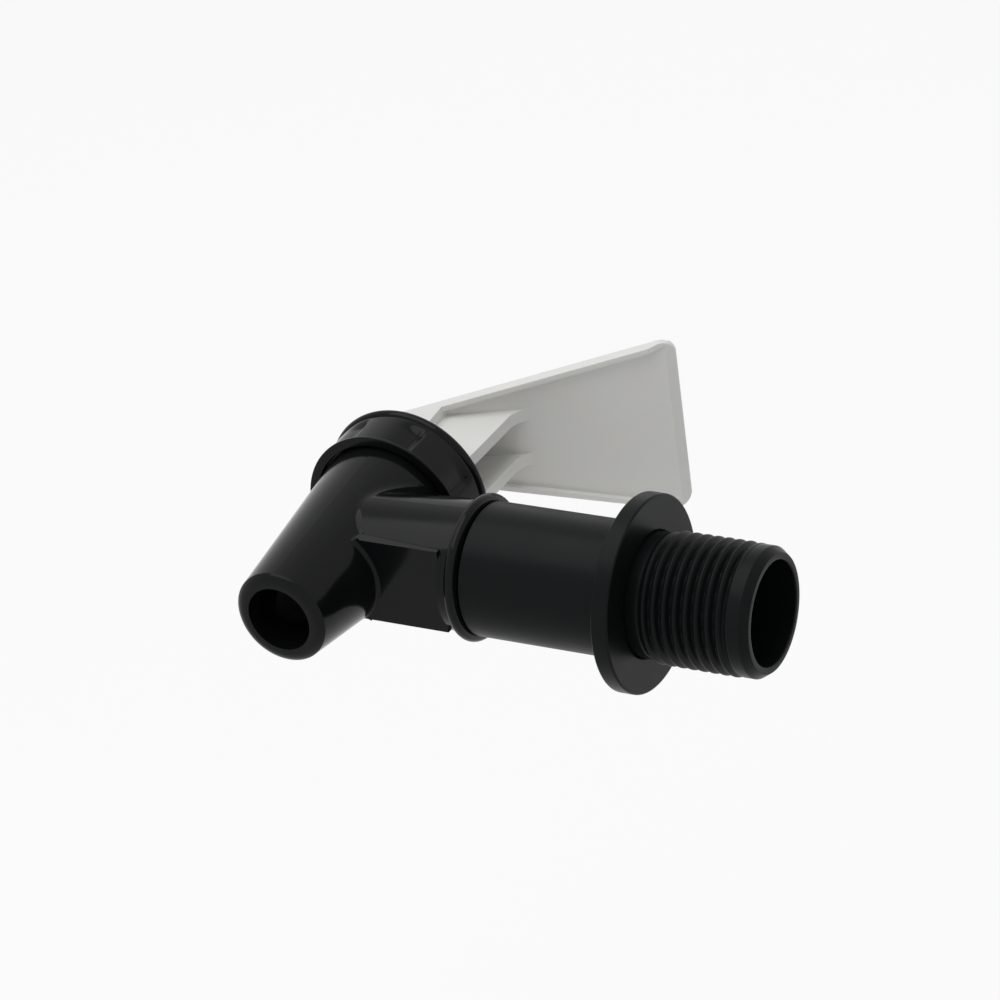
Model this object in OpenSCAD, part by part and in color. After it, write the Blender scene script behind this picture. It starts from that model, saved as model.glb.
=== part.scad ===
// Self-closing dispenser faucet, in millimetres. The origin is where the spout barrel's axis crosses
// the shank's axis: +Z runs up the barrel to the handle, +Y along the shank to the tank, and the
// water leaves at -Z. At rest the handle leans back over the shank.

/* [Spout and barrel] */
// Drop from the shank's axis to the mouth of the spout
spout_drop = 23.15; // [18:0.05:45]
// Bore of the spout
spout_bore_d = 11; // [9.6:0.1:12]
// Wall of the spout just above its rounded mouth
spout_wall = 2.4; // [1.6:0.1:3.5]
// Height of the curved bevel round the spout's mouth
mouth_bevel_h = 0.85; // [0.3:0.05:1.5]
// Width of that bevel
mouth_bevel_w = 1.8; // [0.5:0.1:2]
// Height of the barrel's shoulder above the shank's axis
shoulder_h = 12.2; // [11.5:0.1:20]
// Diameter of the barrel at its shoulder
barrel_d = 24.2; // [23:0.1:28]

/* [Inlet branch] */
// Diameter of the branch where it leaves the barrel
branch_root_d = 19.2; // [16:0.1:21]
// Diameter of the branch at its collar
branch_d = 21.6; // [20:0.1:26]
// Distance from the barrel's axis to the open end of the collar
collar_y = 25.2; // [22:0.1:45]
// Radius of the half-round bead round the collar
bead_r = 0.95; // [0.4:0.05:1.4]
// Bore of the water way from the branch into the barrel
waterway_d = 10; // [8:0.1:12]
// Width of the flat pad under the branch
pad_w = 14.7; // [8:0.1:17]
// Depth of the pad's face below the shank's axis
pad_drop = 8.7; // [8.2:0.1:9.6]

/* [Shank] */
// Outside diameter of the shank's plain tube
tube_d = 21.6; // [20:0.1:26]
// Distance from the barrel's axis to the face of the flange that meets the tank
flange_y = 54; // [40:0.5:110]
// Thickness of the flange
flange_t = 2.9; // [2:0.1:6]
// Diameter of the flange
flange_d = 31.5; // [26:0.1:45]
// Length of the shank beyond the flange
thread_reach = 20.5; // [14:0.5:60]
// Major diameter of the shank's pipe thread
thread_d = 20.95; // [19.6:0.05:23]
// Pitch of the shank's pipe thread, 14 turns to the inch
thread_pitch = 1.814; // [1.2:0.001:2.5]
// Bore of the shank at the tank end
shank_bore_d = 16.6; // [14:0.1:16.8]
// Bore of the shank inside the collar
spigot_bore_d = 9.6; // [7:0.1:10]
// Outside diameter of the spigot that plugs into the collar
spigot_d = 14.4; // [13.6:0.1:14.8]
// Length of the spigot inside the collar
spigot_l = 10; // [8:0.1:12]

/* [Bonnet] */
// Overall height of the bonnet
bonnet_h = 9.3; // [9:0.1:16]
// Diameter of the plain ring at the bonnet's lower edge
bonnet_ring_d = 28; // [27.8:0.1:34]
// Diameter of the full-round rim at the bonnet's top
bonnet_rim_d = 29; // [28.4:0.1:35]
// Number of finger notches round the bonnet
grip_steps = 8; // [5:1:12]
// Depth of each finger notch
grip_depth = 0.8; // [0.3:0.05:1]
// Diameter of the bonnet thread on the body's neck
neck_d = 21.8; // [20.8:0.1:22.4]
// Pitch of the bonnet thread
neck_pitch = 1.6; // [1.2:0.1:2.2]
// Thickness of the bonnet's crown above its ceiling
crown_t = 2.2; // [1.8:0.1:4]

/* [Valve] */
// Depth of the valve seat below the shank's axis
seat_drop = 7.2; // [6.6:0.1:9]
// Hole through the valve seat
seat_hole_d = 8.6; // [6:0.1:9]
// Inside diameter of the valve chamber
chamber_d = 16; // [15.6:0.1:16.6]
// Wall of the silicone seat cup
cup_wall = 1; // [0.6:0.1:1.2]
// Outside diameter of the seat cup
cup_d = 14; // [13.2:0.1:14.6]
// Thickness of the seat cup's clamped rim
cup_rim_t = 1.5; // [1:0.1:2]
// Diameter of the stem
stem_d = 6; // [5:0.1:6.6]
// Wire of the closing spring
wire_d = 0.8; // [0.6:0.05:1.1]
// Free turns of the closing spring
spring_turns = 6; // [4:0.5:9]
// Thickness of the thrust washer above the spring
washer_t = 0.8; // [0.5:0.1:1.2]

/* [Handle] */
// Slope of the handle at rest
handle_slope = 24; // [5:1:40]
// Height of the handle's top face above the bonnet, over the barrel's axis
handle_h = 16.5; // [15:0.1:24]
// Reach of the handle along its slope, from above the barrel's axis
handle_reach = 38; // [26:0.5:70]
// Width of the handle at its free end
handle_end_w = 32.2; // [20:0.1:50]
// Width of the handle above the barrel's axis
handle_hub_w = 15.8; // [14.8:0.1:20]
// Thickness of the handle's plate
plate_t = 1.2; // [1:0.1:2]
// Depth of the handle's side walls, plate included
side_wall_h = 2.3; // [1.8:0.1:4]
// Thickness of the handle's side walls
side_wall_t = 0.9; // [0.7:0.1:1.4]
// Width of the lip across the handle's free end
lip_w = 1.6; // [1:0.1:3]
// Rise of that lip above the plate
lip_rise = 0.45; // [0.2:0.05:1]
// Rounding of the handle's outer corners
corner_r = 2.5; // [1:0.1:4]
// Width of the slot between the handle's two cams
slot_w = 6.2; // [5.6:0.1:7]
// Thickness of each cam
ear_t = 2.2; // [1.6:0.1:3]
// Rounding where the cams run out under the plate
gusset_r = 4; // [1:0.1:6]
// Height of the handle's pin above the bonnet
pin_h = 7; // [6.4:0.1:9]
// Diameter of the handle's pin
pin_d = 3; // [2:0.1:3.2]
// Half length of the cam's flat, which sets how far each degree lifts the stem
cam_flat = 6; // [4:0.1:6.6]
// Largest press of the handle, in degrees
press_deg = 24; // [10:1:26]

/* [Clearances] */
// Radial gap of a bonded or threaded joint
joint_gap = 0.05; // [0.02:0.01:0.1]
// Gap between pieces that move past each other
run_gap = 0.3; // [0.2:0.05:0.4]
// Radial gap of the handle on its pin
pin_gap = 0.05; // [0.02:0.01:0.1]
// Gap below the handle's cams
cam_gap = 0.05; // [0.02:0.01:0.1]

/* [Hidden] */
fine = 96;
over = 1;
black = [0.06, 0.06, 0.07];
white = [0.93, 0.93, 0.91];

// Barrel
mouth_z = -spout_drop;
mouth_r = spout_bore_d / 2 + spout_wall;
barrel_slope = (barrel_d / 2 - mouth_r) / (shoulder_h + spout_drop - mouth_bevel_h);
function barrel_r(z) = mouth_r + (z - mouth_z - mouth_bevel_h) * barrel_slope;
bevel_arc = 60;

// Valve seat and chamber
seat_z = -seat_drop;
seat_rise = 1;
seat_ring_w = 1;
floor_z = seat_z - seat_rise;
floor_t = 2.2;

// Bonnet and neck
skirt_lap = 1.25;
bonnet_z = shoulder_h - skirt_lap;
top_z = bonnet_z + bonnet_h;
ceiling_z = top_z - crown_t;
neck_top_z = ceiling_z - cup_rim_t;
skirt_r = barrel_r(shoulder_h) + run_gap;
skirt_step = 0.5;
ring_h = 0.5;
rim_round = 0.9;
notch_deg = 25.5;
notch_wall_deg = 6;
panel_in = 0.35;
neck_r = neck_d / 2;
neck_thread_h = 0.8;
neck_turns = floor((neck_top_z - shoulder_h - skirt_step) / neck_pitch - 0.1);

// Shank
end_y = flange_y + thread_reach;
tube_y = collar_y + 0.3;
thread_r = thread_d / 2;
thread_h = 0.6 * thread_pitch;
neck_l = 1.7;
lead_l = 1.3;
thread_turns = floor((thread_reach - neck_l - lead_l - thread_pitch / 2) / thread_pitch);
thread_y = flange_y + neck_l + thread_pitch / 2;
flange_round = 0.35;
bore_taper_l = 14;
ring_section = 1;
ring_y = collar_y - spigot_l * 0.45;

// Valve pieces
cup_r = cup_d / 2;
cup_in_r = cup_r - cup_wall;
cup_floor_z = 1;
cup_nose_r = seat_hole_d / 2 + seat_ring_w + 0.3;
knob_r = 3.3;
knob_h = 2.6;
knob_neck_r = 2.2;
knob_neck_h = 1.7;
snug = 0.12;
stem_r = stem_d / 2;
stem_bore_r = stem_r + run_gap;
tongue_lap = 0.5;
foot_r = cup_in_r - run_gap - 0.4;
foot_t = 1.5;
foot_z = cup_floor_z + snug;
spring_low_z = foot_z + foot_t;
spring_high_z = ceiling_z - washer_t;
coil_r = foot_r - wire_d / 2 - 0.1;
washer_r = foot_r + 0.4;

// Handle
pin_z = top_z + pin_h;
pin_r = pin_d / 2;
ear_x = slot_w / 2 + ear_t;
ear_y = cam_flat + 4;
hub_back_y = 9.2;
hub_wall = 1.6;
hub_front_y = 0.7;
plate_z = top_z + handle_h;
cam_h = pin_h - cam_gap;
cam_steps = 8;
flare = (handle_end_w - handle_hub_w) / 2 / handle_reach;
lip_slope = 0.5;
wall_fade = 4.5;

// Turns a shape that was drawn up +Z so that it runs along +Y
module along_shank() { rotate([-90, 0, 0]) children(); }

// Half outline of annular thread ridges for a revolve: [radius, height] pairs from the first root up
function ridges(r, depth, pitch, turns, start) = [
    for (i = [0 : turns - 1])
        each [[r - depth, start + i * pitch - pitch * 0.42], [r, start + i * pitch - pitch * 0.08],
              [r, start + i * pitch + pitch * 0.08], [r - depth, start + i * pitch + pitch * 0.42]]
];

// Spout barrel: a tapered round with a curved bevel at the mouth
module barrel() {
    rotate_extrude($fn = fine) polygon(concat([[0, mouth_z]],
        [for (a = [0 : bevel_arc / 5 : bevel_arc])
            [mouth_r - mouth_bevel_w * (1 - sin(a) / sin(bevel_arc)),
             mouth_z + mouth_bevel_h * (1 - cos(a)) / (1 - cos(bevel_arc))]],
        [[barrel_r(shoulder_h), shoulder_h], [0, shoulder_h]]));
}

// Neck above the shoulder, with the ridges that the bonnet screws over
module neck() {
    rotate_extrude($fn = fine)
        polygon(concat([[0, shoulder_h - over], [neck_r - neck_thread_h, shoulder_h - over]],
                       ridges(neck_r, neck_thread_h, neck_pitch, neck_turns,
                              neck_top_z - 0.3 - (neck_turns - 0.5) * neck_pitch),
                       [[neck_r - neck_thread_h, neck_top_z], [0, neck_top_z]]));
}

// Inlet branch: a slightly flared round from the barrel to the collar, flat along its underside,
// with the bead at its end
module branch() {
    pad_l = collar_y - 2 * bead_r - 1.8;
    difference() {
        along_shank() cylinder(r1 = branch_root_d / 2, r2 = branch_d / 2, h = collar_y, $fn = fine);
        translate([-branch_d, 0, -pad_drop - branch_d]) cube([2 * branch_d, pad_l, branch_d]);
    }
    translate([-pad_w / 2, 0, -pad_drop]) cube([pad_w, pad_l, pad_drop]);
    along_shank() translate([0, 0, collar_y - bead_r - 0.1]) rotate_extrude($fn = fine)
        translate([branch_d / 2 + 0.15, 0]) circle(r = bead_r, $fn = 32);
}

module body() {
    color(black) difference() {
        union() {
            barrel();
            neck();
            branch();
        }
        translate([0, 0, mouth_z - over])
            cylinder(d = spout_bore_d, h = floor_z - floor_t - mouth_z + over, $fn = fine);
        translate([0, 0, mouth_z]) cylinder(d = seat_hole_d, h = spout_drop, $fn = fine);
        difference() {
            translate([0, 0, floor_z]) cylinder(d = chamber_d, h = neck_top_z - floor_z + over, $fn = fine);
            translate([0, 0, floor_z - over])
                cylinder(r = seat_hole_d / 2 + seat_ring_w, h = seat_rise + over, $fn = fine);
        }
        along_shank() {
            cylinder(d = waterway_d, h = collar_y - spigot_l, $fn = fine);
            translate([0, 0, collar_y - spigot_l - joint_gap])
                cylinder(r = spigot_d / 2 + joint_gap, h = spigot_l + over, $fn = fine);
        }
    }
}

// Shank: spigot, plain tube, flange and threaded end, turned as one revolve with a stepped bore
module shank() {
    color(black * 1.3) along_shank() difference() {
        rotate_extrude($fn = fine) {
            polygon(concat(
                [[0, collar_y - spigot_l], [spigot_d / 2 - 0.5, collar_y - spigot_l],
                 [spigot_d / 2, collar_y - spigot_l + 0.5], [spigot_d / 2, tube_y],
                 [tube_d / 2 - 0.2, tube_y], [tube_d / 2, tube_y + 0.2], [tube_d / 2, flange_y - flange_t / 2],
                 [thread_r - thread_h / 2, flange_y - flange_t / 2], [thread_r - thread_h / 2, flange_y + neck_l * 0.7]],
                ridges(thread_r, thread_h, thread_pitch, thread_turns, thread_y),
                [[thread_r - 0.15, thread_y + (thread_turns - 0.3) * thread_pitch],
                 [thread_r - 0.15, end_y - lead_l], [thread_r - thread_h, end_y], [0, end_y]]));
            translate([tube_d / 2 - 1, flange_y - flange_t]) square([flange_d / 2 - tube_d / 2 + 1 - flange_round, flange_t]);
            translate([tube_d / 2 - 1, flange_y - flange_t + flange_round])
                square([flange_d / 2 - tube_d / 2 + 1, flange_t - 2 * flange_round]);
            for (y = [flange_y - flange_round, flange_y - flange_t + flange_round])
                translate([flange_d / 2 - flange_round, y]) circle(r = flange_round, $fn = 24);
        }
        translate([0, 0, collar_y - spigot_l - over]) cylinder(d = spigot_bore_d, h = end_y, $fn = fine);
        translate([0, 0, flange_y - bore_taper_l])
            cylinder(d1 = spigot_bore_d, d2 = shank_bore_d, h = bore_taper_l, $fn = fine);
        translate([0, 0, flange_y - 0.01]) cylinder(d = shank_bore_d, h = thread_reach + over, $fn = fine);
        translate([0, 0, ring_y]) difference() {
            cylinder(r = spigot_d / 2 + over, h = ring_section + 0.3, $fn = fine);
            translate([0, 0, -over])
                cylinder(r = spigot_d / 2 - ring_section + 0.02, h = ring_section + 2 * over, $fn = fine);
        }
    }
}

// Rubber ring that seals the spigot in the collar
module shank_o_ring() {
    color([0.12, 0.12, 0.12]) along_shank() translate([0, 0, ring_y + ring_section / 2 + 0.15])
        rotate_extrude($fn = fine)
            translate([spigot_d / 2 + joint_gap - 0.01 - ring_section / 2, 0]) circle(d = ring_section, $fn = 32);
}

// Outline of the finger grip: each notch has a steep wall on one side and fades out on the other
function grip_outline(r) = [
    for (i = [0 : grip_steps - 1], t = [0, 0.16, 0.4, 0.65, 0.85, 1])
        let (pitch = 360 / grip_steps, a = notch_deg - notch_wall_deg / 2 + i * pitch,
             fall = t < 0.5 ? 0 : (t - 0.5) * 2)
            [(r - (t == 0 ? grip_depth : grip_depth * pow(fall, 2) * 0.8)) * cos(a + t * (pitch - 0.5)),
             (r - (t == 0 ? grip_depth : grip_depth * pow(fall, 2) * 0.8)) * sin(a + t * (pitch - 0.5))]
];

// Grip: notched panels that lean out towards the rim, where the notches run out
module grip() {
    low = bonnet_z + ring_h - 0.01;
    high = top_z - rim_round;
    r = bonnet_ring_d / 2;
    rotate_extrude($fn = fine) polygon([[0, low], [r - grip_depth - panel_in + 0.05, low],
        [r - grip_depth + 0.05, high - 2], [r - 0.5 * grip_depth, high - 1], [r + 0.1, high], [0, high]]);
    intersection() {
        translate([0, 0, low]) linear_extrude(high - low) polygon(grip_outline(r));
        rotate_extrude($fn = fine)
            polygon([[0, low - over], [r - panel_in, low - over], [r - panel_in, low], [r, high], [r, high + over],
                     [0, high + over]]);
    }
}

module bonnet() {
    color(black) difference() {
        union() {
            translate([0, 0, bonnet_z]) cylinder(d = bonnet_ring_d, h = ring_h, $fn = fine);
            grip();
            translate([0, 0, top_z - rim_round]) rotate_extrude($fn = fine) {
                translate([0, -rim_round]) square([bonnet_rim_d / 2 - rim_round, 2 * rim_round]);
                translate([bonnet_rim_d / 2 - rim_round, 0]) circle(r = rim_round, $fn = 32);
            }
        }
        translate([0, 0, bonnet_z - over]) cylinder(r = skirt_r, h = skirt_lap + skirt_step + over, $fn = fine);
        rotate_extrude($fn = fine)
            polygon(concat([[0, bonnet_z], [neck_r - neck_thread_h + 0.15, bonnet_z]],
                           ridges(neck_r + 0.15, neck_thread_h, neck_pitch, neck_turns,
                                  neck_top_z - 0.3 - (neck_turns - 0.5) * neck_pitch),
                           [[neck_r - neck_thread_h + 0.15, neck_top_z - 0.01], [neck_r, neck_top_z],
                            [neck_r, ceiling_z], [0, ceiling_z]]));
        translate([0, 0, ceiling_z - over]) cylinder(r = stem_bore_r, h = crown_t + 2 * over, $fn = fine);
    }
}

// Silicone seat cup: a rim clamped under the bonnet, a thin wall, and a solid nose on the valve seat
module seat_cup() {
    color([0.86, 0.87, 0.86]) rotate_extrude($fn = fine) polygon([
        [0, seat_z], [cup_nose_r - 0.4, seat_z], [cup_nose_r, seat_z + 0.4], [cup_nose_r, seat_z + 2],
        [cup_r, cup_floor_z - 1], [cup_r, neck_top_z - 0.6], [cup_r + 0.4, neck_top_z],
        [neck_r - 0.1, neck_top_z], [neck_r - 0.1, ceiling_z], [cup_in_r, ceiling_z],
        [cup_in_r, cup_floor_z], [knob_neck_r + snug, cup_floor_z],
        [knob_neck_r + snug, cup_floor_z - knob_neck_h + snug],
        [knob_r + snug, cup_floor_z - knob_neck_h + snug],
        [knob_r + snug, cup_floor_z - knob_neck_h - knob_h * 0.6],
        [knob_r - 1.2, cup_floor_z - knob_neck_h - knob_h - snug], [0, cup_floor_z - knob_neck_h - knob_h - snug]]);
}

// Stem: barbed knob, spring foot, round rod and a flat tongue for the handle's pin
module stem() {
    color(white) difference() {
        union() {
            rotate_extrude($fn = fine) polygon([
                [0, foot_z - knob_neck_h - knob_h], [knob_r - 1.3, foot_z - knob_neck_h - knob_h],
                [knob_r, foot_z - knob_neck_h - knob_h * 0.6], [knob_r, foot_z - knob_neck_h],
                [knob_neck_r, foot_z - knob_neck_h], [knob_neck_r, foot_z], [foot_r, foot_z],
                [foot_r, foot_z + foot_t], [stem_r, foot_z + foot_t], [stem_r, pin_z], [0, pin_z]]);
            rotate([0, 90, 0]) translate([-pin_z, 0, -stem_r]) cylinder(r = stem_r, h = 2 * stem_r, $fn = fine);
        }
        for (side = [-1, 1])
            translate([side * (slot_w / 2 - run_gap + stem_r), 0, top_z - tongue_lap + pin_h])
                cube([2 * stem_r, 4 * stem_r, 2 * pin_h], center = true);
        rotate([0, 90, 0]) translate([-pin_z, 0, -2 * stem_r]) cylinder(r = pin_r, h = 4 * stem_r, $fn = 48);
    }
}

// Height of the spring's wire after t turns: one closed turn at each end, with its coils nearly
// touching, and an even climb between
closed_pitch = wire_d + 0.06;
open_rise = spring_high_z - spring_low_z - wire_d - 0.04 - 2 * closed_pitch;
coil_turns = spring_turns + 2;
function coil_z(t) = spring_low_z + wire_d / 2 + 0.02 + closed_pitch * min(t, 1)
    + open_rise * min(1, max(0, (t - 1) / spring_turns)) + closed_pitch * max(0, t - 1 - spring_turns);
coil_steps = 20;
coil_sides = 8;
coil_rings = round(coil_turns * coil_steps);

module spring() {
    points = [
        for (i = [0 : coil_rings], j = [0 : coil_sides - 1])
            let (t = i / coil_steps, a = 360 * t, b = 360 * j / coil_sides, r = coil_r + wire_d / 2 * cos(b))
                [r * cos(a), r * sin(a), coil_z(t) + wire_d / 2 * sin(b)]
    ];
    sides = [
        for (i = [0 : coil_rings - 1], j = [0 : coil_sides - 1])
            let (k = (j + 1) % coil_sides, p = i * coil_sides)
                each [[p + j, p + coil_sides + j, p + coil_sides + k], [p + j, p + coil_sides + k, p + k]]
    ];
    ends = [[for (j = [0 : coil_sides - 1]) j],
            [for (j = [coil_sides - 1 : -1 : 0]) coil_rings * coil_sides + j]];
    color("silver") polyhedron(points, concat(ends, sides), convexity = 10);
}

// Slippery washer that lets the spring turn with the stem below the bonnet's crown
module thrust_washer() {
    color(white) translate([0, 0, spring_high_z]) difference() {
        cylinder(r = washer_r, h = washer_t, $fn = fine);
        translate([0, 0, -over]) cylinder(r = stem_bore_r, h = washer_t + 2 * over, $fn = fine);
    }
}

module handle_pin() {
    color("silver") translate([-ear_x, 0, pin_z]) rotate([0, 90, 0]) cylinder(r = pin_r, h = 2 * ear_x, $fn = 48);
}

// Side view of one cam: an involute, so that the stem rises evenly with the handle's angle.
// Each point is where a line that turns with the handle touches the bonnet's top.
function cam_point(deg) = let (h = cam_h + cam_flat * deg * PI / 180)
    [h * sin(deg) + cam_flat * cos(deg), -h * cos(deg) + cam_flat * sin(deg)];

module ear_side() {
    polygon(concat([[-hub_back_y, -cam_h]],
                   [for (i = [0 : cam_steps]) cam_point(i * (press_deg + 3) / cam_steps)],
                   [[ear_y, cam_point(press_deg + 3)[1] + 0.8]],
                   [for (a = [180 : -11 : 90 + handle_slope])
                       [ear_y + gusset_r * (1 + cos(a)),
                        under_z(ear_y + gusset_r) - gusset_r / cos(handle_slope) + gusset_r * sin(a)]],
                   [[ear_y + gusset_r, under_z(ear_y + gusset_r) + plate_t / 2],
                    [-hub_back_y, under_z(-hub_back_y) + plate_t / 2]]));
}

// Height of the plate's underside above the pin, at y
function under_z(y) = handle_h - pin_h + y * tan(handle_slope) - plate_t / cos(handle_slope);

// Places a side view, drawn as [y, z] about the pin, as a slab from x0 to x1
module slab(x0, x1) {
    translate([x0, 0, pin_z]) rotate([90, 0, 90]) linear_extrude(x1 - x0) children();
}

// Half width of the handle at a distance s along its slope
function half_w(s) = handle_hub_w / 2 + s * flare;

// Outline of the plate in its own plane, kept in from its edge by d
module plate_outline(s0, s1, d) {
    r = max(corner_r - d, 0.2);
    polygon([[-half_w(s0) + d, s0], [half_w(s0) - d, s0], [half_w(s1 - r) - d, s1 - r], [half_w(s1) - d - r, s1],
             [-half_w(s1) + d + r, s1], [-half_w(s1 - r) + d, s1 - r]]);
    for (side = [-1, 1])
        translate([side * (half_w(s1 - r) - d - r), s1 - r]) circle(r = r, $fn = 40);
}

// Moves a shape that was drawn on the handle's top face to that face at rest
module on_plate() {
    translate([0, 0, plate_z]) rotate([handle_slope, 0, 0]) children();
}

back_s = -hub_back_y / cos(handle_slope);

// Plate with a shallow wall along each side and a lip across its free end. The underside rises
// towards that end, and the side walls fade out there.
module plate() {
    on_plate() difference() {
        union() {
            translate([0, 0, -plate_t]) linear_extrude(plate_t) plate_outline(back_s, handle_reach, 0);
            translate([0, 0, -side_wall_h]) linear_extrude(side_wall_h) difference() {
                plate_outline(back_s, handle_reach, 0);
                plate_outline(back_s - over, handle_reach + 2 * corner_r, side_wall_t);
            }
            intersection() {
                translate([0, 0, -plate_t]) linear_extrude(plate_t + lip_rise)
                    plate_outline(back_s, handle_reach, 0);
                translate([-handle_end_w, handle_reach - lip_w * 0.7, -plate_t])
                    cube([2 * handle_end_w, 2 * lip_w, side_wall_h + lip_rise]);
            }
        }
        rotate([90, 0, 90]) translate([0, 0, -handle_end_w]) linear_extrude(2 * handle_end_w) polygon([
            [handle_reach - wall_fade, -side_wall_h - 0.01], [handle_reach - lip_w, -plate_t],
            [handle_reach + over, -plate_t + (lip_w + over) * lip_slope],
            [handle_reach + over, -side_wall_h - over], [handle_reach - wall_fade, -side_wall_h - over]]);
    }
}

// Back of the hub: as wide as the plate above it, and closed behind
module hub_back() {
    intersection() {
        slab(-handle_hub_w, handle_hub_w) polygon([
            [-hub_back_y, -cam_h + 1.2], [-hub_back_y + 1.2, -cam_h], [-hub_front_y, -cam_h],
            [-hub_front_y, under_z(-hub_front_y) + plate_t / 2], [-hub_back_y, under_z(-hub_back_y) + plate_t / 2]]);
        on_plate() translate([0, 0, -2 * handle_h]) linear_extrude(4 * handle_h)
            plate_outline(back_s - handle_h, handle_reach, 0);
    }
}

module handle() {
    color(white) difference() {
        union() {
            plate();
            hub_back();
            slab(-ear_x, ear_x) ear_side();
        }
        slab(-slot_w / 2, slot_w / 2) polygon([
            [-hub_back_y + hub_wall, -pin_h - over], [ear_y + gusset_r + over, -pin_h - over],
            [ear_y + gusset_r + over, under_z(ear_y + gusset_r + over)],
            [-hub_back_y + hub_wall, under_z(-hub_back_y + hub_wall)]]);
        translate([-2 * ear_x, 0, pin_z]) rotate([0, 90, 0]) cylinder(r = pin_r + pin_gap, h = 4 * ear_x, $fn = 48);
    }
}

body();
shank();
shank_o_ring();
bonnet();
seat_cup();
stem();
spring();
thrust_washer();
handle_pin();
handle();
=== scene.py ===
import bmesh
import bpy
import numpy as np
from mathutils import Matrix, Vector


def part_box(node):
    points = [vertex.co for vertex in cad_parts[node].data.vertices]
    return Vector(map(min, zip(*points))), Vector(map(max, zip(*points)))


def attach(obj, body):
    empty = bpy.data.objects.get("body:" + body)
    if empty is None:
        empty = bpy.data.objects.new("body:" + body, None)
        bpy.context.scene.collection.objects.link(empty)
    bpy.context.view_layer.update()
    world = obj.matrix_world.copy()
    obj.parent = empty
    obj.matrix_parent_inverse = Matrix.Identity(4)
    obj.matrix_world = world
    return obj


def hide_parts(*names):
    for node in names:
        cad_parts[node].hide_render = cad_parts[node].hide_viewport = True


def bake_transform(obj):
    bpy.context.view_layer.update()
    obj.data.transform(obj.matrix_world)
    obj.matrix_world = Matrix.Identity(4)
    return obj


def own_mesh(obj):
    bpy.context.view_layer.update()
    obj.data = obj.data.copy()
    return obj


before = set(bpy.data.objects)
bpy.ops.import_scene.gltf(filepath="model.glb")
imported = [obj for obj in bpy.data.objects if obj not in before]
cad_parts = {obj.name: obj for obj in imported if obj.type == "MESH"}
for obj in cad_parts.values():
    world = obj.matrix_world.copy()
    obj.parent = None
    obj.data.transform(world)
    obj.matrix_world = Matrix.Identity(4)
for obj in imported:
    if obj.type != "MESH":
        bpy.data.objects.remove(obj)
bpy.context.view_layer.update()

MM = 0.001

# Faucet body: one glossy black moulding that holds the spout barrel and the inlet branch with its
# bead. The CAD solid has every edge of it, and the small fillet that the mould leaves where the
# branch grows out of the barrel is laid over it as one skin.

SPOUT_TIP_R = 7.9
SPOUT_BEVEL = 0.85
SHOULDER_R = 12.1
BRANCH_ROOT_R = 9.6
BRANCH_COLLAR_R = 10.8
PAD_HALF_W = 7.35
PAD_DROP = 8.7
PAD_FILLET = 0.7
GLOSS_BLACK = (0.0035, 0.0038, 0.0042, 1)
GLOSS_BLACK_THIN = (0.0058, 0.0062, 0.0066, 1)


def node_box(node):
    """Lowest and highest corner of a CAD node, in millimetres."""
    low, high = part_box(node)
    return np.array(low) / MM, np.array(high) / MM


def surface(name, grid, loop_rows=False, loop_columns=False, crease=35):
    """Mesh object over a grid of points in millimetres, with one quad between each four neighbours.
    A looped direction joins its last line to its first. Edges sharper than crease degrees stay sharp."""
    rows, columns = grid.shape[:2]
    index = np.arange(rows * columns).reshape(rows, columns)
    if loop_rows:
        index = np.vstack([index, index[:1]])
    if loop_columns:
        index = np.hstack([index, index[:, :1]])
    quads = np.stack([index[:-1, :-1], index[:-1, 1:], index[1:, 1:], index[1:, :-1]], -1).reshape(-1, 4)
    mesh = bpy.data.meshes.new(name)
    mesh.from_pydata((grid.reshape(-1, 3) * MM).tolist(), [], quads.tolist())
    mesh.shade_smooth()
    mesh.set_sharp_from_angle(angle=np.radians(crease))
    piece = bpy.data.objects.new(name, mesh)
    bpy.context.collection.objects.link(piece)
    return piece


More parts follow.
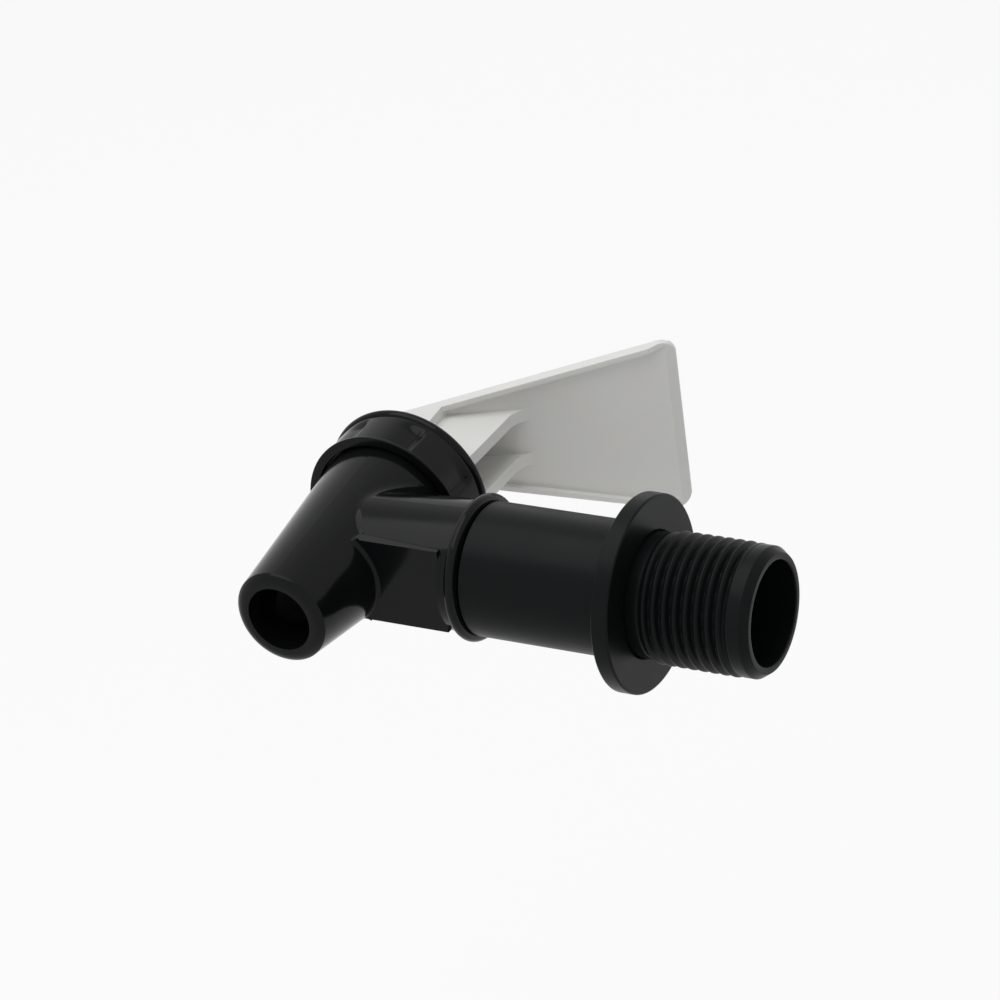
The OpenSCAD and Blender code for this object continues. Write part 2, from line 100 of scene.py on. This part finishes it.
def moulded(name, colour, thin_colour, roughness, grain, bump, scatter=0.0, mirror=0.5):
    """Moulded plastic: a slow noise shifts the colour between two close tones and the gloss between
    two roughnesses, and a fine one gives the mould's grain as a bump of the given depth in mm. scatter
    is how much light goes under the skin, and mirror how strongly the skin reflects."""
    material = bpy.data.materials.new(name)
    material.use_nodes = True
    nodes, links = material.node_tree.nodes, material.node_tree.links
    shader = nodes["Principled BSDF"]
    place = nodes.new("ShaderNodeTexCoord")
    flow = nodes.new("ShaderNodeTexNoise")
    flow.inputs["Scale"].default_value = 90
    flow.inputs["Detail"].default_value = 4
    links.new(place.outputs["Object"], flow.inputs["Vector"])
    tone = nodes.new("ShaderNodeMix")
    tone.data_type = "RGBA"
    tone.inputs["A"].default_value = colour
    tone.inputs["B"].default_value = thin_colour
    links.new(flow.outputs["Fac"], tone.inputs["Factor"])
    links.new(tone.outputs["Result"], shader.inputs["Base Color"])
    gloss = nodes.new("ShaderNodeMapRange")
    gloss.inputs["From Min"].default_value = 0.3
    gloss.inputs["From Max"].default_value = 0.7
    gloss.inputs["To Min"].default_value = roughness[0]
    gloss.inputs["To Max"].default_value = roughness[1]
    links.new(flow.outputs["Fac"], gloss.inputs["Value"])
    links.new(gloss.outputs["Result"], shader.inputs["Roughness"])
    fine = nodes.new("ShaderNodeTexNoise")
    fine.inputs["Scale"].default_value = 1 / (grain * MM)
    fine.inputs["Detail"].default_value = 2
    links.new(place.outputs["Object"], fine.inputs["Vector"])
    relief = nodes.new("ShaderNodeBump")
    relief.inputs["Distance"].default_value = bump * MM
    relief.inputs["Strength"].default_value = 1
    links.new(fine.outputs["Fac"], relief.inputs["Height"])
    links.new(relief.outputs["Normal"], shader.inputs["Normal"])
    shader.inputs["Specular IOR Level"].default_value = mirror
    if scatter:
        shader.inputs["Subsurface Weight"].default_value = scatter
        shader.inputs["Subsurface Radius"].default_value = (1, 0.9, 0.75)
        shader.inputs["Subsurface Scale"].default_value = 1.2 * MM
    return material


def dress(node, material):
    """Gives a CAD node's own object a material."""
    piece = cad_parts[node]
    piece.data.materials.clear()
    piece.data.materials.append(material)


def barrel_r(z):
    """Radius of the spout barrel at a height: a straight taper from the tip to the shoulder."""
    tip_z = mouth_z + SPOUT_BEVEL
    return SPOUT_TIP_R + (z - tip_z) * (SHOULDER_R - SPOUT_TIP_R) / (shoulder_z - tip_z)


def rolled_fillet(outline, across, ball, slope, steps=9):
    """Skin left by a ball that rolls in the corner between the barrel and the branch. outline holds
    the (x, z) points of the branch's section, across its outward directions, ball the radius at each
    and slope the branch's taper there. The ball's centre stands off both surfaces by its radius, the
    skin is the short arc between its two contact points, and a last row on each side dips under."""
    taper = (SHOULDER_R - SPOUT_TIP_R) / (shoulder_z - mouth_z - SPOUT_BEVEL)
    y = np.full(len(ball), BRANCH_ROOT_R)
    for _ in range(12):
        grown = outline + across * (slope * y + ball * np.hypot(1, slope))[:, None]
        reach = barrel_r(grown[:, 1]) + ball * np.hypot(1, taper)
        y = np.sqrt(np.maximum(reach ** 2 - grown[:, 0] ** 2, 1))
    centre = np.stack([grown[:, 0], y, grown[:, 1]], -1)
    to_barrel = -np.stack([centre[:, 0] / reach, centre[:, 1] / reach, np.full(len(y), -taper)], -1)
    to_branch = -np.stack([across[:, 0], -slope, across[:, 1]], -1)
    to_barrel /= np.linalg.norm(to_barrel, axis=1)[:, None]
    to_branch /= np.linalg.norm(to_branch, axis=1)[:, None]
    turn = np.arccos(np.clip((to_barrel * to_branch).sum(1), -1, 0.99999))[:, None]
    share = np.linspace(0, 1, steps)[:, None, None]
    arc = (np.sin((1 - share) * turn) * to_barrel + np.sin(share * turn) * to_branch) / np.sin(turn)
    skin = centre + ball[:, None] * arc
    run_barrel = (skin[0] - skin[1]) / np.linalg.norm(skin[0] - skin[1], axis=1)[:, None]
    run_branch = (skin[-1] - skin[-2]) / np.linalg.norm(skin[-1] - skin[-2], axis=1)[:, None]
    first = skin[0] + 0.4 * run_barrel + 0.02 * to_barrel
    last = skin[-1] + 0.4 * run_branch + 0.02 * to_branch
    return np.concatenate([first[None], skin, last[None]])


body_low, body_high = node_box("body")
mouth_z = body_low[2]
bonnet_low, bonnet_high = node_box("bonnet")
shoulder_z = bonnet_low[2] + 1.25
collar_y = body_high[1]

# The branch's section, from its top round one side: the round, the pad's side, corner and face
round_deg = np.radians(np.linspace(0, 129.4, 66))
round_part = BRANCH_ROOT_R * np.stack([np.sin(round_deg), np.cos(round_deg)], -1)
side_part = np.stack([np.full(6, PAD_HALF_W), np.linspace(-6.9, -PAD_DROP, 6)], -1)
corner_deg = np.radians(np.linspace(90, 180, 9))
corner_part = np.tile([PAD_HALF_W, -PAD_DROP], (9, 1))
face_part = np.stack([np.linspace(PAD_HALF_W, 0, 16), np.full(16, -PAD_DROP)], -1)[1:]
half = np.concatenate([round_part, side_part, corner_part, face_part])
half_across = np.concatenate([
    np.stack([np.sin(round_deg), np.cos(round_deg)], -1), np.tile([1.0, 0.0], (6, 1)),
    np.stack([np.sin(corner_deg), np.cos(corner_deg)], -1), np.tile([0.0, -1.0], (15, 1))])
half_ball = np.concatenate([
    np.interp(np.degrees(round_deg), [0, 25, 60, 90, 112, 129.4], [1.15, 1.7, 3.4, 4.0, 2.8, PAD_FILLET]),
    np.full(30, PAD_FILLET)])
half_slope = np.concatenate([np.full(66, (BRANCH_COLLAR_R - BRANCH_ROOT_R) / collar_y), np.zeros(30)])
mirror = np.array([-1, 1])
branch_skin = rolled_fillet(
    np.concatenate([half, (half * mirror)[-2:0:-1]]),
    np.concatenate([half_across, (half_across * mirror)[-2:0:-1]]),
    np.concatenate([half_ball, half_ball[-2:0:-1]]),
    np.concatenate([half_slope, half_slope[-2:0:-1]]))
branch_fillet = surface("branch_fillet", branch_skin, loop_columns=True, crease=60)
gloss_black = moulded(
    "gloss_black", GLOSS_BLACK, GLOSS_BLACK_THIN, (0.1, 0.17), 1.6, 0.0012, mirror=0.12)
branch_fillet.data.materials.append(gloss_black)
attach(branch_fillet, "faucet_body")
dress("body", gloss_black)

# Shank: a satin black moulding that plugs into the branch's collar and is bonded there. It has the
# plain tube, the flange that sits against the tank and a rounded pipe thread for the tank's nut.
# The CAD solid has rings for the thread, so the whole piece is turned again here with its helix.

TUBE_R = 10.8
SPIGOT_R = 7.2
SPIGOT_BORE_R = 4.8
SHANK_BORE_R = 8.3
FLANGE_R = 15.75
FLANGE_T = 2.9
THREAD_REACH = 20.5
THREAD_R = 10.475
THREAD_PITCH = 1.814
THREAD_DEPTH = 0.95
THREAD_NECK_R = 9.93
THREAD_LEAD_R = 10.3
THREAD_START = 2.6
THREAD_RUN = 14.6
SATIN_BLACK = (0.0035, 0.0042, 0.0045, 1)
SATIN_BLACK_THIN = (0.006, 0.0068, 0.0072, 1)


def rounded(corners, steps=6):
    """Outline through corners of (along, out, round): each corner gets an arc that touches both of
    its sides, with its round as radius, and a round of 0 leaves it sharp."""
    points = []
    for before, here, after in zip(corners[-1:] + corners[:-1], corners, corners[1:] + corners[:1]):
        p, q, s = (np.array(c[:2], float) for c in (before, here, after))
        if not here[2]:
            points.append(q[None])
            continue
        u, v = (p - q) / np.linalg.norm(p - q), (s - q) / np.linalg.norm(s - q)
        bend = np.arccos(np.clip(u @ v, -1, 1)) / 2
        centre = q + (u + v) / np.linalg.norm(u + v) * here[2] / np.sin(bend)
        a, b = q + u * here[2] / np.tan(bend) - centre, q + v * here[2] / np.tan(bend) - centre
        share = np.linspace(0, 1, steps)[:, None]
        swing = np.pi - 2 * bend
        points.append(centre + (np.sin((1 - share) * swing) * a + np.sin(share * swing) * b) / np.sin(swing))
    return np.concatenate(points)


def step_up(x, start, end):
    """Smooth rise from 0 at start to 1 at end: 3s2 - 2s3 of the clipped share s."""
    s = np.clip((x - start) / (end - start), 0, 1)
    return s * s * (3 - 2 * s)


def even_normals(piece):
    """Weights each corner's normal by the area of its faces, so that flats shade flat beside rounds."""
    weigh = piece.modifiers.new("even_normals", "WEIGHTED_NORMAL")
    weigh.keep_sharp = True


shank_low, shank_high = node_box("shank")
spigot_y, shank_end_y = shank_low[1], shank_high[1]
flange_y = shank_end_y - THREAD_REACH
tube_y = collar_y + 0.3
ring_y = node_box("shank_o_ring")[0][1] - 0.15

outer = rounded([
    (spigot_y, SPIGOT_R - 0.5, 0), (spigot_y + 0.5, SPIGOT_R, 0), (ring_y, SPIGOT_R, 0),
    (ring_y, SPIGOT_R - 0.98, 0), (ring_y + 1.3, SPIGOT_R - 0.98, 0), (ring_y + 1.3, SPIGOT_R, 0),
    (tube_y, SPIGOT_R, 0), (tube_y, TUBE_R, 0.2), (flange_y - FLANGE_T, TUBE_R, 0.35),
    (flange_y - FLANGE_T, FLANGE_R, 0.35), (flange_y, FLANGE_R, 0.35), (flange_y, THREAD_NECK_R, 0.5)])
inner = rounded([
    (flange_y, THREAD_NECK_R, 0), (shank_end_y - 1.3, THREAD_LEAD_R, 0.25),
    (shank_end_y, THREAD_R - 1.09, 0.12), (shank_end_y, SHANK_BORE_R, 0.25), (flange_y, SHANK_BORE_R, 0),
    (flange_y - 14, SPIGOT_BORE_R, 0), (spigot_y, SPIGOT_BORE_R, 0)])[1:]
thread_y = np.arange(flange_y + 0.62, shank_end_y - 1.45, 0.09)
profile = np.concatenate([outer, np.stack([thread_y, np.full(len(thread_y), THREAD_NECK_R)], -1), inner])
on_thread = np.concatenate([np.zeros(len(outer)), np.ones(len(thread_y)), np.zeros(len(inner))])[:, None]
turn = np.linspace(0, 2 * np.pi, 216, endpoint=False)[None]
along, out = profile[:, :1], profile[:, 1:]
phase = (along - flange_y - THREAD_START) / THREAD_PITCH + turn / (2 * np.pi)
crest = (0.5 + 0.5 * np.cos(2 * np.pi * phase)) ** 0.8
cut = step_up(along, flange_y + THREAD_START - 0.9, flange_y + THREAD_START + 1.2)
run_out = flange_y + THREAD_START + THREAD_RUN
cut = cut * (1 - step_up(along, run_out - 1.2, run_out + 0.6))
plain = THREAD_NECK_R + (THREAD_LEAD_R - THREAD_NECK_R) * step_up(along, flange_y + 6, flange_y + 14)
threaded = (1 - cut) * plain + cut * (THREAD_R - THREAD_DEPTH * (1 - crest))
radius = out * (1 - on_thread) + threaded * on_thread
shank = surface("shank_with_thread", np.stack(
    [radius * np.cos(turn), along + 0 * turn, radius * np.sin(turn)], -1)[:, ::-1], True, True)
satin_black = moulded("satin_black", SATIN_BLACK, SATIN_BLACK_THIN, (0.3, 0.4), 0.5, 0.003, mirror=0.08)
even_normals(shank)
shank.data.materials.append(satin_black)
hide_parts("shank")
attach(shank, "faucet_body")

# Ring that seals the spigot in the collar: a moulded rubber ring in the spigot's groove, squeezed
# a little by the collar's bore.

RUBBER = (0.012, 0.012, 0.012, 1)
RUBBER_WORN = (0.02, 0.02, 0.02, 1)

rubber = moulded("ring_rubber", RUBBER, RUBBER_WORN, (0.6, 0.75), 0.12, 0.004)
dress("shank_o_ring", rubber)

# Seat cup: a soft milky silicone cup that closes the spout. On the tap its rim is clamped under the
# bonnet, its nose lifts with the stem and the thin wall between them gives way; this piece keeps one shape.

SILICONE = (0.74, 0.75, 0.73, 1)
SILICONE_CLOUD = (0.8, 0.8, 0.78, 1)


def merged_copy(name, node):
    """Copy of a CAD node's mesh with its loose triangles joined, and without their corner normals."""
    piece = bpy.data.objects.new(name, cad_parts[node].data.copy())
    bpy.context.collection.objects.link(piece)
    shape = bmesh.new()
    shape.from_mesh(piece.data)
    bmesh.ops.remove_doubles(shape, verts=shape.verts, dist=0.0005 * MM)
    shape.to_mesh(piece.data)
    shape.free()
    if "custom_normal" in piece.data.attributes:
        piece.data.attributes.remove(piece.data.attributes["custom_normal"])
    piece.data.materials.clear()
    return piece


seat_cup = merged_copy("seat_cup_soft", "seat_cup")
seat_cup.data.shade_smooth()
seat_cup.data.set_sharp_from_angle(angle=np.radians(35))
silicone = moulded("milky_silicone", SILICONE, SILICONE_CLOUD, (0.35, 0.5), 0.3, 0.002, scatter=0.5)
seat_cup.data.materials.append(silicone)
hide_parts("seat_cup")
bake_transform(seat_cup)

# Stem: a turned-looking white acetal moulding with a barbed knob for the seat cup, a foot for the
# spring and a flat tongue on top, between the handle's cams, for the pin.

ACETAL = (0.8, 0.8, 0.77, 1)
ACETAL_DULL = (0.76, 0.76, 0.72, 1)

acetal = moulded("white_acetal", ACETAL, ACETAL_DULL, (0.28, 0.38), 0.25, 0.002, scatter=0.2)
dress("stem", acetal)

# Spring: stainless wire wound with one closed turn at each end. It stands on the stem's foot under
# the thrust washer and goes with the swivel; on the tap it shortens as the handle lifts the stem, but
# this coil keeps its length.

WIRE_D = 0.8
OPEN_TURNS = 6
STEEL = (0.56, 0.56, 0.55, 1)
STEEL_DARK = (0.44, 0.44, 0.43, 1)


def metal(name, colour, dark_colour, roughness, drawn):
    """Drawn metal: fine scratches of the given spacing in mm shift its tone and its gloss."""
    material = moulded(name, colour, dark_colour, roughness, drawn, 0.001)
    material.node_tree.nodes["Principled BSDF"].inputs["Metallic"].default_value = 1
    return material


spring_low, spring_high = node_box("spring")
coil_r = spring_high[0] - WIRE_D / 2
closed_pitch = WIRE_D + 0.06
coil_t = np.linspace(0, OPEN_TURNS + 2, (OPEN_TURNS + 2) * 48 + 1)[:, None]
open_rise = spring_high[2] - spring_low[2] - WIRE_D - 2 * closed_pitch
coil_z = (spring_low[2] + WIRE_D / 2 + closed_pitch * np.minimum(coil_t, 1)
          + open_rise * np.clip((coil_t - 1) / OPEN_TURNS, 0, 1)
          + closed_pitch * np.maximum(0, coil_t - 1 - OPEN_TURNS))
around = np.linspace(0, 2 * np.pi, 14, endpoint=False)[None]
wire_r = coil_r + WIRE_D / 2 * np.cos(around)
coil = np.stack([wire_r * np.cos(2 * np.pi * coil_t), wire_r * np.sin(2 * np.pi * coil_t),
                 coil_z + WIRE_D / 2 * np.sin(around)], -1)
ends = [np.repeat(coil[i].mean(0)[None, None], 14, axis=1) for i in (0, -1)]
wire = np.concatenate([ends[0], coil, ends[1]])[:, ::-1]
spring = surface("spring_wire", wire, loop_columns=True)
steel = metal("drawn_stainless", STEEL, STEEL_DARK, (0.24, 0.36), 0.1)
spring.data.materials.append(steel)
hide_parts("spring")
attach(spring, "swivel")
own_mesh(spring)

# Thrust washer: a waxy natural plastic disc on which the spring turns with the handle.

NATURAL = (0.78, 0.77, 0.71, 1)
NATURAL_WORN = (0.72, 0.71, 0.65, 1)

natural = moulded("natural_plastic", NATURAL, NATURAL_WORN, (0.3, 0.42), 0.2, 0.002, scatter=0.3)
dress("thrust_washer", natural)

# Bonnet: a glossy black cap screwed over the body's neck. Eight finger notches, each with one steep
# wall, are moulded into its leaning side and run out under a full-round rim.

RING_R = 14
RIM_R = 14.5
RIM_ROUND = 0.9
PANEL_LEAN = 0.35
NOTCHES = 8
NOTCH_DEG = 25.5
NOTCH_DEPTH = 0.85
WALL_SHARE = 0.13
SKIRT_R = 12.4
NECK_R = 10.9
STEM_HOLE_R = 3.3

low_z, top_z = bonnet_low[2], bonnet_high[2]
rim_z = top_z - RIM_ROUND
rim_mid_r = RIM_R - RIM_ROUND
lowest = np.arccos((RING_R - rim_mid_r) / RIM_ROUND)
grip_z = np.linspace(low_z + 0.55, rim_z - RIM_ROUND * np.sin(lowest), 44)
grip = np.stack([grip_z, RING_R - PANEL_LEAN * (rim_z - grip_z) / (rim_z - low_z)], -1)
rim_turn = np.linspace(-lowest, np.pi / 2, 22)[1:]
rim = np.stack([rim_z + RIM_ROUND * np.sin(rim_turn), rim_mid_r + RIM_ROUND * np.cos(rim_turn)], -1)
ring = rounded([(low_z, SKIRT_R, 0.15), (low_z, RING_R, 0.2), (low_z + 0.5, RING_R, 0.12),
                (low_z + 0.5, SKIRT_R, 0)])[:18]
inside = rounded([(top_z, STEM_HOLE_R, 0.2), (top_z - 2.2, STEM_HOLE_R, 0), (top_z - 2.2, NECK_R, 0),
                  (shoulder_z + 0.5, NECK_R, 0), (shoulder_z + 0.5, SKIRT_R, 0), (low_z, SKIRT_R, 0)])[:-1]
profile = np.concatenate([ring, grip, rim, inside])
grips = np.concatenate([np.zeros(len(ring)), np.ones(len(grip)), np.zeros(len(rim) + len(inside))])[:, None]
turn = np.linspace(0, 2 * np.pi, 576, endpoint=False)[None]
height, out = profile[:, :1], profile[:, 1:]
share = ((np.degrees(turn) - NOTCH_DEG) / 360 * NOTCHES + WALL_SHARE / 2) % 1
wall = 1 - step_up(share, 0, WALL_SHARE)
fade = 0.85 * step_up(share, 0.45, 1.0) ** 2
notch = np.maximum(wall, fade) * (1 - step_up(height, rim_z - 3.2, rim_z - 1.0))
notch = notch * step_up(height, low_z + 0.5, low_z + 0.75)
radius = out - grips * NOTCH_DEPTH * notch
bonnet = surface("bonnet_cap", np.stack(
    [radius * np.cos(turn), radius * np.sin(turn), height + 0 * turn], -1), True, True, crease=50)
even_normals(bonnet)
bonnet.data.materials.append(gloss_black)
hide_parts("bonnet")
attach(bonnet, "faucet_body")

# Handle pin: a short length of stainless rod pressed through the stem's tongue; the handle turns on
# its ends.

dress("handle_pin", steel)

# Handle: an off-white paddle moulded in one piece with its two cams, which roll on the bonnet and
# lift the stem. It clips over the pin's ends.

OFF_WHITE = (0.8, 0.8, 0.78, 1)
OFF_WHITE_WARM = (0.78, 0.775, 0.745, 1)

off_white = moulded("off_white", OFF_WHITE, OFF_WHITE_WARM, (0.3, 0.4), 0.35, 0.002, scatter=0.15)
dress("handle", off_white)

# Set: the faucet is shown lying on its side above a pale floor, under one wide soft lamp, as in
# the photograph. The world is white to the camera, and an even grey to everything it lights.

VIEW_FROM = (294.0, 295.3, -431.5)
VIEW_TO = (3.2, 19.7, 15.1)
VIEW_UP = (0.8658, -0.1309, 0.4829)
FOCAL = 134.2
FLOOR_X = -130
FLOOR_SIZE = 3000
FLOOR_GLOW = 0.9
ROOM_LIGHT = 0.42


def aim(eye, target, up):
    """Matrix of a camera or lamp at eye that looks at target, with up as its own upward side."""
    back = (Vector(eye) - Vector(target)).normalized()
    right = Vector(up).cross(back).normalized()
    turned = Matrix((right, back.cross(right), back)).transposed().to_4x4()
    return Matrix.Translation(Vector(eye) * MM) @ turned


camera = bpy.data.objects.new("camera", bpy.data.cameras.new("camera"))
camera.data.lens = FOCAL
camera.data.clip_start = 0.01
camera.matrix_world = aim(VIEW_FROM, VIEW_TO, VIEW_UP)
bpy.context.collection.objects.link(camera)
bpy.context.scene.camera = camera


def lit_path(nodes, links, share):
    """Factor that is share for camera rays and 1 for glossy and transmission rays: what the eye and
    what shiny surfaces see of a backdrop, apart from the light that it gives."""
    path = nodes.new("ShaderNodeLightPath")
    seen_share = nodes.new("ShaderNodeMath")
    seen_share.operation = "MULTIPLY"
    seen_share.inputs[1].default_value = share
    links.new(path.outputs["Is Camera Ray"], seen_share.inputs[0])
    factor = seen_share.outputs["Value"]
    for ray in ("Is Glossy Ray", "Is Transmission Ray"):
        both = nodes.new("ShaderNodeMath")
        both.use_clamp = True
        links.new(factor, both.inputs[0])
        links.new(path.outputs[ray], both.inputs[1])
        factor = both.outputs["Value"]
    return factor


def lamp(name, eye, target, size, power):
    """Square area lamp of the given size in mm and power in watts."""
    light = bpy.data.lights.new(name, "AREA")
    light.size = size * MM
    light.energy = power
    piece = bpy.data.objects.new(name, light)
    piece.matrix_world = aim(eye, target, (0.1, 0.2, 1))
    bpy.context.collection.objects.link(piece)
    return piece


lamp("soft_overhead", (420, -60, -60), (0, 20, 0), 420, 1.1)
lamp("soft_front", (60, -120, -520), (0, 20, 0), 300, 0.5).visible_glossy = False

world = bpy.data.worlds.new("studio")
world.use_nodes = True
nodes, links = world.node_tree.nodes, world.node_tree.links
room = nodes["Background"]
room.inputs["Color"].default_value = (1, 1, 1, 1)
room.inputs["Strength"].default_value = ROOM_LIGHT
seen = nodes.new("ShaderNodeBackground")
choose = nodes.new("ShaderNodeMixShader")
links.new(lit_path(nodes, links, 1.0), choose.inputs["Fac"])
links.new(room.outputs["Background"], choose.inputs[1])
links.new(seen.outputs["Background"], choose.inputs[2])
links.new(choose.outputs["Shader"], nodes["World Output"].inputs["Surface"])
seen.inputs["Color"].default_value = (1, 1, 1, 1)
bpy.context.scene.world = world

corner = np.array([-0.5, 0.5]) * FLOOR_SIZE
floor = surface("floor", np.stack(np.broadcast_arrays(
    FLOOR_X, corner[None, :], corner[:, None]), -1).astype(float))
pale = bpy.data.materials.new("pale_floor")
pale.use_nodes = True
nodes, links = pale.node_tree.nodes, pale.node_tree.links
matt = nodes["Principled BSDF"]
matt.inputs["Base Color"].default_value = (0.85, 0.85, 0.85, 1)
matt.inputs["Roughness"].default_value = 0.9
glow = nodes.new("ShaderNodeEmission")
clear = nodes.new("ShaderNodeBsdfTransparent")
side = nodes.new("ShaderNodeNewGeometry")
lit = nodes.new("ShaderNodeMixShader")
one_sided = nodes.new("ShaderNodeMixShader")
links.new(lit_path(nodes, links, FLOOR_GLOW), lit.inputs["Fac"])
links.new(matt.outputs["BSDF"], lit.inputs[1])
links.new(glow.outputs["Emission"], lit.inputs[2])
links.new(side.outputs["Backfacing"], one_sided.inputs["Fac"])
links.new(lit.outputs["Shader"], one_sided.inputs[1])
links.new(clear.outputs["BSDF"], one_sided.inputs[2])
links.new(one_sided.outputs["Shader"], nodes["Material Output"].inputs["Surface"])
floor.data.materials.append(pale)

bpy.context.scene.view_settings.view_transform = "Standard"
